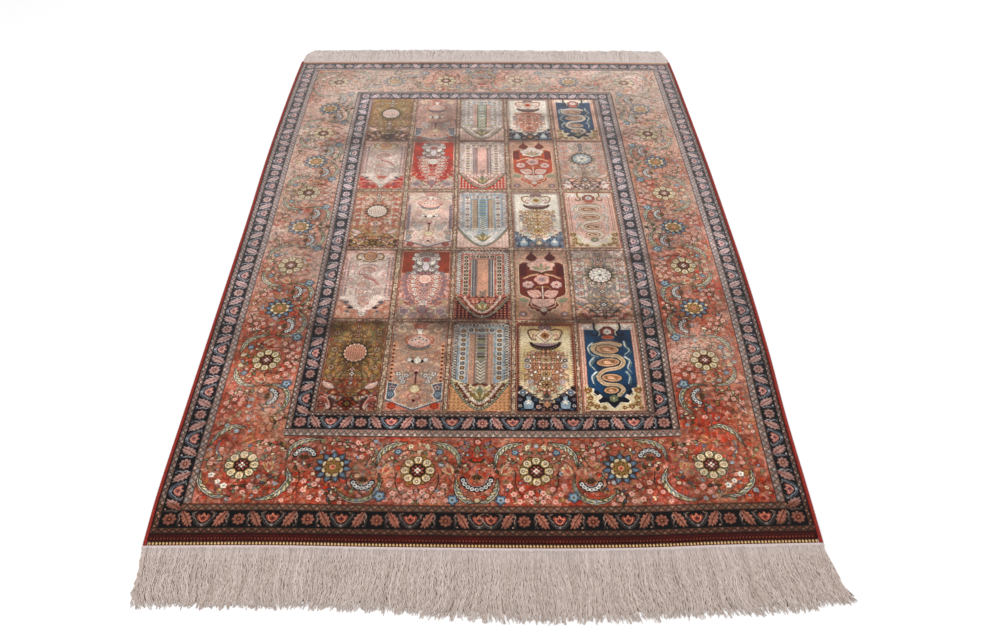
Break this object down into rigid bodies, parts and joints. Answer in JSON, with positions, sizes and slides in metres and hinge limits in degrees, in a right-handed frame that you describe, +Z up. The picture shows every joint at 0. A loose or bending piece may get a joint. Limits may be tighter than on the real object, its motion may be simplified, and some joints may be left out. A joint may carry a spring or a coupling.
{
  "type": "hand-knotted silk rug with fringed ends",
  "caption": "Flat hand-knotted silk rug with a compartment field in nested borders, corded selvedges and a long fringe at each end",
  "frame": {"origin": "on the floor, under the middle of the woven part", "axes": "+Z up, +Y along the rug from the near end to the far end, +X across it to the right"},
  "size_m": [1.3096, 2.1475, 0.0062],
  "materials": {
    "pile": "short silk pile with a soft sheen, knotted in many colours",
    "selvedge": "overcast silk yarn, red",
    "chain": "row of chain stitches, straw yellow",
    "fringe": "twisted warp yarn, matt beige"
  },
  "bodies": {
    "root": {"rug_body": "pile", "selvedge_left": "selvedge", "selvedge_right": "selvedge", "end_chain_near": "chain", "end_chain_far": "chain", "fringe_near": "fringe", "fringe_far": "fringe"}
  },
  "joints": []
}
